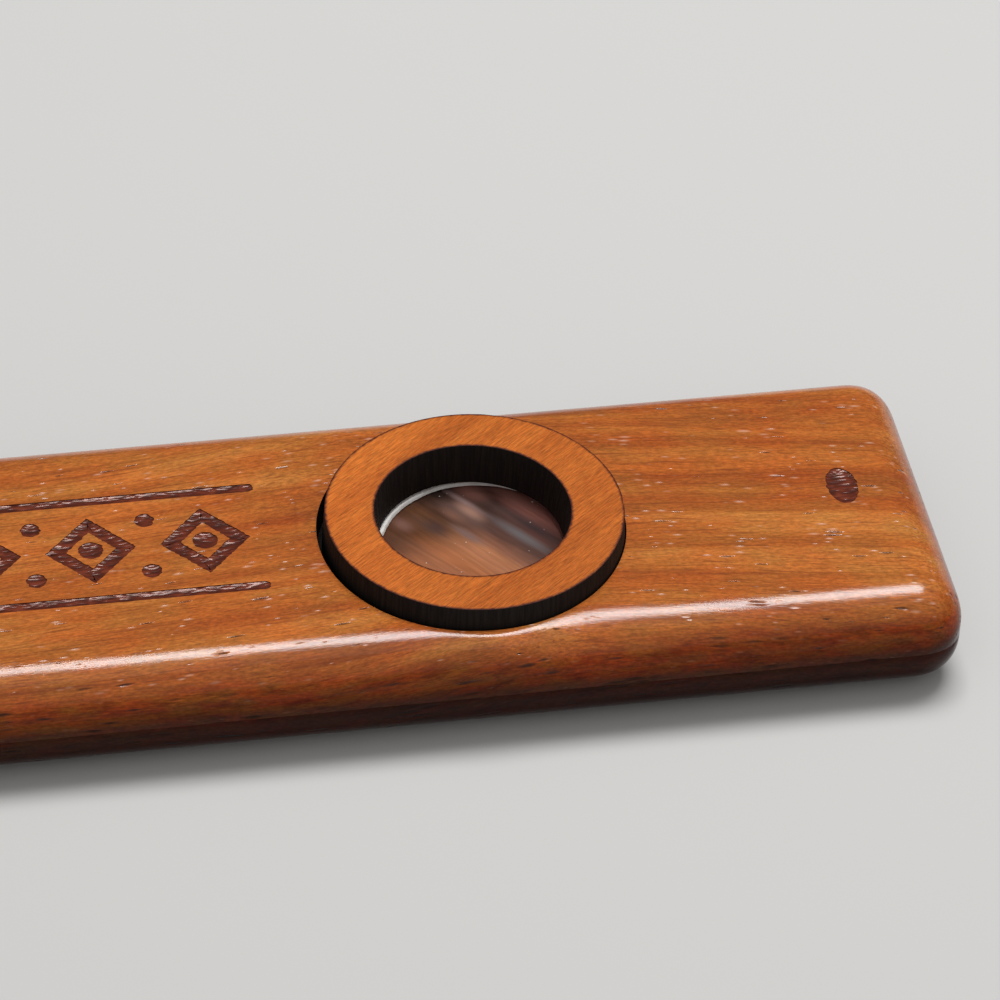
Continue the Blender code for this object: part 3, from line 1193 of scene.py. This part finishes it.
@dataclass
class Ring:
    """The laser-cut ring that clamps the membrane, with chips in its rim.

    Its outline is a little long towards the mouth end, and its hole leans back.
    """

    inner: float = 8.3 * MM
    stretch: float = 0.16 * MM
    lean: float = 0.4 * MM
    hole_lean: Vector = Vector((0.0, 0.22 * MM, 0.0))
    base_draw: float = 0.2 * MM
    edge_break: float = 0.04 * MM
    edge_segments: int = 3
    rim_width: float = 0.3 * MM
    chip: float = 0.10 * MM
    chip_count: float = 9.0
    chip_level: float = 0.12
    chip_side: float = math.radians(-35.0)
    chips_elsewhere: float = 0.35
    steps: int = 256

    def __post_init__(self) -> None:
        """Reads the ring's place from the frame."""
        low, high = Stands.RING.box
        self.axis = Stands.RING.axis
        self.low, self.high = low.z, high.z
        self.outer = (high.x - low.x) / 2 - self.lean
        self.base = self.outer + self.lean - self.base_draw
        longer = Matrix.Diagonal((1 + self.stretch / self.outer, 1.0, 1.0, 1.0))
        self.outline = Matrix.Translation((self.stretch, 0.0, 0.0)) @ longer

    def build(self, face: Material, wall: Material) -> None:
        """Makes and dresses the ring.

        Args:
            face: the finish of the level faces.
            wall: the finish of the cut walls.
        """
        profile = [
            (self.outer - self.rim_width, self.high), (self.outer, self.high), (self.base, self.low),
            (self.inner - self.lean, self.low), (self.inner, self.high),
            (self.inner + self.rim_width, self.high),
        ]
        bm = turned(profile, self.steps)
        for facet in bm.faces:
            facet.material_index = 0 if abs(facet.normal.z) > LEVEL_TILT else 1
        round_edges(bm, rims(bm), self.edge_break, self.edge_segments)
        self.chip_rim(bm)
        mid_radius, mid_height = (self.inner + self.outer) / 2, (self.low + self.high) / 2
        outer_side = [vert for vert in bm.verts if vert.co.xy.length > mid_radius]
        hole_side = [vert for vert in bm.verts if vert.co.xy.length <= mid_radius]
        hole_base = [vert for vert in hole_side if vert.co.z < mid_height]
        bmesh.ops.transform(bm, matrix=self.outline, verts=outer_side)
        bmesh.ops.translate(bm, verts=hole_base, vec=self.hole_lean)
        bmesh.ops.translate(bm, verts=bm.verts, vec=self.axis)
        enlist(object_from("cut_ring", bm, [face, wall]), Body.RING, Stands.RING)

    def chip_rim(self, bm: Mesh) -> None:
        """Wears small chips into the outer top rim, most of them towards the near mouth side.

        Args:
            bm: the ring, about its own axis.
        """
        for vert in bm.verts:
            radius = vert.co.xy.length
            if radius < self.outer - 2 * self.edge_break or vert.co.z < self.high - 2 * self.edge_break:
                continue
            angle = math.atan2(vert.co.y, vert.co.x)
            around = Vector((math.cos(angle), math.sin(angle), 0.0))
            facing = max(0.0, math.cos(angle - self.chip_side))
            share = self.chips_elsewhere + (1 - self.chips_elsewhere) * facing
            depth = self.chip * share * max(0.0, noise.noise(around * self.chip_count) - self.chip_level)
            vert.co.xy *= 1 - depth / radius
            vert.co.z -= depth


@dataclass
class Seat:
    """The round recess for the membrane and the ring, cut to the ring's outline with a little play."""

    ring: Ring
    play: float = 0.25 * MM
    shift: Vector = Vector((-0.22 * MM, 0.08 * MM, 0.0))
    film_gap: float = 0.1 * MM

    def __post_init__(self) -> None:
        """Works the recess out from the ring and from the film's place in the frame."""
        self.axis = self.ring.axis
        self.radius = self.ring.base + self.play
        self.outline = Matrix.Translation(self.shift) @ self.ring.outline
        self.middle = self.axis + self.outline.to_translation()
        self.floor = Stands.FILM.box[0].z - self.film_gap


@dataclass
class Bar:
    """The two glued boards, with the air passage, the membrane's seat and the port between them."""

    seat: Seat
    seam_gap: float = 0.012 * MM
    seam_chamfer: float = 0.015 * MM
    plan_corner: float = 4.6 * MM
    corner_power: float = 2.5
    edge_round: float = 4.2 * MM
    edge_draw: float = 0.48
    edge_draw_reach: float = 4.6 * MM
    edge_swell: float = 0.15
    edge_swell_place: float = 9.0 * MM
    edge_swell_reach: float = 4.0 * MM
    mouth_width: float = 16.0 * MM
    outlet_width: float = 8.0 * MM
    passage_corner: float = 1.0 * MM
    floor_wall: float = 1.5 * MM
    seat_ledge: float = 1.0 * MM
    chamber_radius: float = 8.2 * MM
    chamber_step: float = 0.03 * MM
    port_radius: float = 7.25 * MM
    flare_length: float = 3.0 * MM
    flare: float = 0.7 * MM
    flare_steps: int = 6
    cut_margin: float = 2.0 * MM
    coat_tilts: tuple[float, ...] = (0.80, 0.50, 0.20)
    coat_glosses: tuple[float, ...] = (0.50, 0.27, 0.16, 0.10)
    slice_pitch: float = 2.5 * MM
    fine_pitch: float = 0.5 * MM
    fine_reach: float = 17.0 * MM
    corner_segments: int = 16
    round_segments: int = 18
    seam_segments: int = 2
    passage_segments: int = 6
    circle_segments: int = 160

    def __post_init__(self) -> None:
        """Reads the boards' places from the frame."""
        self.low, lower_high = Stands.LOWER_BOARD.box
        self.seam = lower_high.z
        self.high = Stands.UPPER_BOARD.box[1]

    def build(self, upper: Finish, lower: Finish, bare: Material, wall: Material, burnt: Material) -> None:
        """Makes and dresses both boards.

        Args:
            upper: the upper board's finish, which gets less glossy down its sides.
            lower: the lower board's finish.
            bare: the finish of what the router cut.
            wall: the finish of the seat, black char that also stands in for the shade in the gap round the
                ring.
            burnt: the finish of the engraving.
        """
        passage = self.passage_tools(bare)
        seat = self.seat_tools(bare, wall)
        ornament = Ornament(self.high.z, burnt).tool()
        lower_board = self.lower_board(lower)
        carve(lower_board, passage)
        upper_board = self.upper_board(upper)
        carve(upper_board, [*seat, *passage, ornament])
        discard([*passage, *seat, ornament])
        enlist(upper_board, Body.BAR, Stands.UPPER_BOARD)
        enlist(lower_board, Body.BAR, Stands.LOWER_BOARD)

    def lower_board(self, finish: Finish) -> Item:
        """The lower board, still solid."""
        bm = self.board(self.low, Vector((self.high.x, self.high.y, self.seam)), self.low.z)
        return object_from("lacquered_lower_board", bm, [finish.material()])

    def upper_board(self, finish: Finish) -> Item:
        """The upper board, still solid.

        Args:
            finish: its finish.

        Returns:
            The board, with one coat for each stretch of its rounding, from the top down.
        """
        bm = self.board(Vector((self.low.x, self.low.y, self.seam + self.seam_gap)), self.high, self.high.z)
        self.draw_near_edge(bm)
        for facet in bm.faces:
            facet.material_index = sum(facet.normal.z < tilt for tilt in self.coat_tilts)
        coats = [
            replace(finish, name=f"{finish.name}_{gloss:.2f}", gloss=gloss).material()
            for gloss in self.coat_glosses
        ]
        return object_from("lacquered_upper_board", bm, coats)

    def board(self, low: Vector, high: Vector, rounded: float) -> Mesh:
        """One board, with round corners in plan and one rim rounded over.

        Args:
            low: its lowest corner.
            high: its highest corner.
            rounded: the height of the rim that is rounded over.

        Returns:
            The mesh.
        """
        bm = block(low, high)
        round_edges(bm, edges_along(bm, Axis.Z), self.plan_corner, self.corner_segments)
        glued = low.z + high.z - rounded
        round_edges(bm, edges_at(bm, glued), self.seam_chamfer, self.seam_segments)
        round_edges(bm, edges_at(bm, rounded), self.edge_round, self.round_segments)
        slice_across(bm, Axis.X, self.stations())
        self.fill_corners(bm)
        return bm

    def stations(self) -> list[float]:
        """Where the boards are sliced along X, most closely beside the seat.

        Returns:
            The places, first those off the seat and then those beside it.
        """
        stations = []
        for pitch, close in ((self.slice_pitch, False), (self.fine_pitch, True)):
            steps = int((self.high.x - self.low.x) / pitch)
            places = [self.low.x + (step + 0.5) * pitch for step in range(steps)]
            stations += [x for x in places if (abs(x - self.seat.middle.x) < self.fine_reach) == close]
        return stations

    def fill_corners(self, bm: Mesh) -> None:
        """Makes the corners in plan a little squarer than arcs.

        Args:
            bm: the board.
        """
        core = self.high.xy - Vector((self.plan_corner, self.plan_corner))
        for vert in bm.verts:
            out = Vector((max(0.0, abs(vert.co.x) - core.x), max(0.0, abs(vert.co.y) - core.y)))
            if min(out) <= SAME_PLACE:
                continue
            unit = out.normalized()
            size = (unit.x ** self.corner_power + unit.y ** self.corner_power) ** (1 / self.corner_power)
            vert.co.x = math.copysign(core.x + out.x / size, vert.co.x)
            vert.co.y = math.copysign(core.y + out.y / size, vert.co.y)

    def draw_near_edge(self, bm: Mesh) -> None:
        """Draws the near edge's rounding in beside the seat, and lets it spread a little past the seat.

        Args:
            bm: the board.
        """
        for vert in bm.verts:
            depth = vert.co.y - self.low.y
            if depth > self.edge_round + SAME_PLACE:
                continue
            along = vert.co.x - self.seat.middle.x
            past = along - self.edge_swell_place
            drawn = self.edge_draw * math.exp(-((along / self.edge_draw_reach) ** 2))
            spread = self.edge_swell * math.exp(-((past / self.edge_swell_reach) ** 2))
            vert.co.y = self.low.y + depth * (1 - drawn + spread)

    def passage_tools(self, finish: Material) -> list[Item]:
        """The cutters of the air passage.

        Args:
            finish: the finish that they leave.

        Returns:
            The round chamber, the wide run from the mouth and the narrow run to the outlet.
        """
        axis = self.seat.axis
        roof = self.seat.floor - self.seat_ledge
        base = Vector((axis.x, axis.y, self.floor_wall - self.chamber_step))
        outlet_start = axis.x - self.chamber_radius / 2
        tools = {
            "chamber_tool": plug(self.chamber_radius, base, roof + self.chamber_step, self.circle_segments),
            "mouth_run_tool": self.run(axis.x, self.high.x, self.mouth_width, roof),
            "outlet_run_tool": self.run(outlet_start, self.low.x, self.outlet_width, roof),
        }
        return [object_from(name, bm, [finish]) for name, bm in tools.items()]

    def run(self, inside: float, end: float, width: float, roof: float) -> Mesh:
        """One straight run of the passage, opening out at its end.

        Args:
            inside: where it starts along X.
            end: where it leaves the bar.
            width: its width.
            roof: the height of its roof.

        Returns:
            The cutter's mesh.
        """
        side = math.copysign(1.0, end)
        first, last = sorted((inside, end + side * self.cut_margin))
        low = Vector((first, self.seat.axis.y - width / 2, self.floor_wall))
        high = Vector((last, self.seat.axis.y + width / 2, roof))
        bm = block(low, high)
        round_edges(bm, edges_along(bm, Axis.X), self.passage_corner, self.passage_segments)
        start = end - side * self.flare_length
        shares = [step / self.flare_steps for step in range(self.flare_steps + 1)]
        slice_across(bm, Axis.X, [start + side * self.flare_length * share for share in shares])
        middle = (low + high) / 2
        for vert in bm.verts:
            share = max(0.0, (vert.co.x - start) * side / self.flare_length)
            growth = self.flare * share ** 2
            vert.co.y += math.copysign(growth, vert.co.y - middle.y)
            vert.co.z += math.copysign(growth, vert.co.z - middle.z)
        return bm

    def seat_tools(self, bare: Material, wall: Material) -> list[Item]:
        """The cutters of the seat and of the port through its floor.

        Args:
            bare: the finish of the port.
            wall: the finish of the seat, black char that also stands in for the shade in the gap round the
                ring.

        Returns:
            The two cutters.
        """
        seat, axis = self.seat, self.seat.axis
        base = Vector((0.0, 0.0, seat.floor))
        recess = plug(seat.radius, base, self.high.z + self.cut_margin, self.circle_segments)
        bmesh.ops.transform(recess, matrix=Matrix.Translation(axis) @ seat.outline, verts=recess.verts)
        under = Vector((axis.x, axis.y, self.seam - self.cut_margin))
        port = plug(self.port_radius, under, seat.floor + self.cut_margin / 2, self.circle_segments)
        return [object_from("seat_tool", recess, [wall]), object_from("port_tool", port, [bare])]


@dataclass
class Membrane:
    """The rippled film and the white hoop on it, which sits a little off centre in the seat."""

    seat: Seat
    film_play: float = 0.05 * MM
    film_thickness: float = 0.06 * MM
    film_rings: int = 44
    ripple: float = 0.03 * MM
    ripple_pitch: float = 3.1 * MM
    ripple_turn: float = math.radians(-51.0)
    ripple_drift: float = 1.4
    drift_size: float = 4.0 * MM
    clamped_width: float = 0.5 * MM
    clamp_power: int = 4
    hoop_inner: float = 8.30 * MM
    hoop_shift: Vector = Vector((0.70 * MM, 0.0, 0.0))
    hoop_slope: float = 0.12 * MM
    hoop_height: float = 0.30 * MM
    hoop_edge: float = 0.03 * MM
    edge_segments: int = 3
    hoop_wobble: float = 0.16 * MM
    wobble_waves: float = 2.2
    fine_waves: float = 26.0
    fine_share: float = 0.25
    steps: int = 160

    def __post_init__(self) -> None:
        """Reads the membrane's place from the frame."""
        self.axis = Stands.FILM.axis
        self.radius = self.seat.radius - self.film_play - self.seat.shift.length

    def build(self, film: Material, hoop: Material) -> None:
        """Makes the film and the hoop and dresses each in its finish."""
        enlist(object_from("buzzing_film", self.film_mesh(), [film]), Body.MEMBRANE, Stands.FILM)
        enlist(object_from("white_hoop", self.hoop_mesh(), [hoop]), Body.MEMBRANE, Stands.HOOP)

    def film_mesh(self) -> Mesh:
        """The film, flat where the hoop clamps it and rippled inside.

        Returns:
            The mesh.
        """
        low, high = Stands.FILM.box
        height = (low.z + high.z + self.film_thickness) / 2
        profile = [(self.radius * ring / self.film_rings, height) for ring in range(self.film_rings + 1)]
        bm = turned(profile, self.steps, closed=False)
        for vert in bm.verts:
            vert.co.z += self.ripple_height(vert.co)
        if sum(face.normal.z for face in bm.faces) < 0:
            bmesh.ops.reverse_faces(bm, faces=bm.faces)
        bmesh.ops.solidify(bm, geom=bm.faces, thickness=self.film_thickness)
        bmesh.ops.translate(bm, verts=bm.verts, vec=self.axis)
        return bm

    def ripple_height(self, place: Vector) -> float:
        """How far the slack film stands up.

        Args:
            place: a point of the film, about its axis.

        Returns:
            The height.
        """
        free = max(0.0, 1 - (place.xy.length / (self.hoop_inner - self.clamped_width)) ** self.clamp_power)
        across = Quaternion(Axis.Z.value, -self.ripple_turn) @ place
        drift = noise.noise(across / self.drift_size) * self.ripple_drift
        return self.ripple * free * math.sin(across.y / self.ripple_pitch * FULL_TURN + drift)

    def hoop_mesh(self) -> Mesh:
        """The hoop, with its edges broken and an uneven sloping inner side.

        Returns:
            The mesh.
        """
        outer = self.radius - self.hoop_shift.length
        base = Stands.HOOP.box[0].z
        top = base + self.hoop_height
        inner_top = self.hoop_inner + self.hoop_slope
        bm = turned([(outer, top), (outer, base), (self.hoop_inner, base), (inner_top, top)], self.steps)
        round_edges(bm, rims(bm), self.hoop_edge, self.edge_segments)
        for vert in bm.verts:
            if vert.co.xy.length >= (self.hoop_inner + outer) / 2:
                continue
            around = vert.co.xy.normalized().to_3d()
            fine = self.fine_share * noise.noise(around * self.fine_waves)
            vert.co.xy += around.xy * self.hoop_wobble * (noise.noise(around * self.wobble_waves) + fine)
        bmesh.ops.translate(bm, verts=bm.verts, vec=self.axis + self.hoop_shift)
        return bm


@dataclass
class Studio:
    """The pale floor, the softbox over it and the camera."""

    aim: Vector
    floor_paint: Paint = (206, 205, 203)
    bounce_paint: Paint = (46, 45, 44)
    floor_roughness: float = 0.9
    floor_size: float = 6.0
    floor_gap: float = 0.02 * MM
    box_direction: Vector = Vector((0.17, 0.22, 0.96))
    box_distance: float = 0.60
    box_length: float = 0.34
    box_width: float = 0.20
    box_turn: float = math.radians(19.0)
    box_power: float = 2.95
    front: Vector = Vector((0.0, -0.62, 0.78))
    front_span: Span = (0.0, 0.95)
    sky_levels: Span = (0.09, 0.52)
    camera_place: Vector = Vector((-28.45 * MM, -275.13 * MM, 256.51 * MM))
    camera_yaw: float = math.radians(10.985)
    camera_pitch: float = math.radians(41.092)
    camera_roll: float = math.radians(2.160)
    lens_mm: float = 158.72
    sensor_mm: float = 36.0

    def build(self) -> None:
        """Makes the floor, the light and the camera."""
        self.lay_floor()
        self.hang_softbox()
        self.set_sky()
        self.set_camera()
        bpy.context.scene.view_settings.view_transform = "Standard"

    def lay_floor(self) -> None:
        """A plain matt floor under the bar, pale where it is seen and duller in the light it gives back."""
        bm = bmesh.new()
        under = Matrix.Translation((0.0, 0.0, -self.floor_gap))
        bmesh.ops.create_grid(bm, x_segments=1, y_segments=1, size=self.floor_size / 2, matrix=under)
        material, graph, shader = new_material("pale_floor")
        graph.put(shader, {"Base Color": linear(self.floor_paint), "Roughness": self.floor_roughness})
        dull = graph.add("BsdfDiffuse", {"Color": linear(self.bounce_paint)})
        rays = graph.add("LightPath", {}).outputs
        seen = graph.math("MAXIMUM", rays["Is Camera Ray"], rays["Is Glossy Ray"])
        seen = graph.math("MAXIMUM", seen, rays["Is Transmission Ray"])
        mixed = graph.add("MixShader", {0: seen, 1: dull.outputs["BSDF"], 2: shader.outputs["BSDF"]})
        graph.put(graph.tree.nodes["Material Output"], {"Surface": mixed.outputs["Shader"]})
        object_from("floor", bm, [material])

    def hang_softbox(self) -> None:
        """A long softbox above and a little behind the bar."""
        lamp = bpy.data.lights.new("softbox", "AREA")
        lamp.shape = "RECTANGLE"
        lamp.size, lamp.size_y = self.box_length, self.box_width
        lamp.energy = self.box_power
        place = self.aim + self.box_direction.normalized() * self.box_distance
        self.point(new_object("softbox", lamp), place, -self.box_direction, self.box_turn)

    def set_sky(self) -> None:
        """Soft light from all round, strongest from the front."""
        world = bpy.data.worlds.new("studio")
        world.use_nodes = True
        graph = Graph(world.node_tree)
        outward = graph.add("TexCoord", {}).outputs["Generated"]
        facing = graph.vector("DOT_PRODUCT", outward, self.front)
        level = graph.step(facing, *self.front_span, *self.sky_levels)
        graph.put(world.node_tree.nodes["Background"], {"Color": (*UNIT, 1.0), "Strength": level})
        bpy.context.scene.world = world

    def set_camera(self) -> None:
        """The camera, in front of the bar and well above it."""
        camera = bpy.data.cameras.new("camera")
        camera.lens, camera.sensor_width = self.lens_mm, self.sensor_mm
        level = math.cos(self.camera_pitch)
        sideways, ahead = math.sin(self.camera_yaw) * level, math.cos(self.camera_yaw) * level
        forward = Vector((sideways, ahead, -math.sin(self.camera_pitch)))
        item = new_object("camera", camera)
        self.point(item, self.camera_place, forward, self.camera_roll)
        bpy.context.scene.camera = item

    def point(self, item: Item, place: Vector, forward: Vector, roll: float) -> None:
        """Places a lamp or a camera.

        Args:
            item: the object.
            place: where it stands.
            forward: where it looks.
            roll: how far it is turned about its own axis.
        """
        item.location = place
        item.rotation_mode = "QUATERNION"
        item.rotation_quaternion = forward.to_track_quat("-Z", "Y") @ Quaternion(Axis.Z.value, roll)


def main() -> None:
    """Builds the pieces in order, dresses them and sets the studio round them."""
    logging.basicConfig(level=logging.INFO, format="%(name)s: %(message)s")
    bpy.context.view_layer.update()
    upper = LacqueredWood(
        name="upper_lacquered_wood", dark=(158, 80, 36), middle=(184, 104, 46), pale=(202, 124, 60),
        # pore is pale paint for glints in the pits, a painted highlight
        streak=(126, 60, 30), pore_glint_paint=(224, 168, 138), slit=(64, 32, 22),
        # foot darkens the lowest part of the sides as painted shade
        cut_from=(24.0 * MM, -3.0 * MM, 0.0), foot=0.42,
    )
    # the lower board is painted a darker wood, and darker still as painted shade of the underside
    lower = LacqueredWood(
        name="lower_dark_wood_and_painted_shade", dark=(74, 35, 19), middle=(87, 42, 22), pale=(98, 52, 27),
        # pore is pale paint for glints in the pits, a painted highlight
        streak=(62, 31, 21), pore_glint_paint=(132, 84, 60), slit=(40, 22, 18),
        cut_from=(31.0 * MM, 17.0 * MM, 23.0 * MM), gloss=0.09,
    )
    ring = Ring()
    seat = Seat(ring)
    membrane = Membrane(seat)
    face = RingWood(centre=ring.axis, inner=ring.inner, outer=ring.outer, outline=ring.outline)
    charred = CharredCut().material()
    # the seat's wall takes the charred finish too, which also stands in for the shade in the gap round the
    # ring
    Bar(seat).build(upper, lower, BareWood().material(), charred, BurntEngraving().material())
    ring.build(face.material(), charred)
    membrane.build(ClearFilm(centre=membrane.axis).material(), WhiteHoop().material())
    Studio(aim=Vector((ring.axis.x, ring.axis.y, ring.high))).build()


if __name__ == "__main__":
    main()
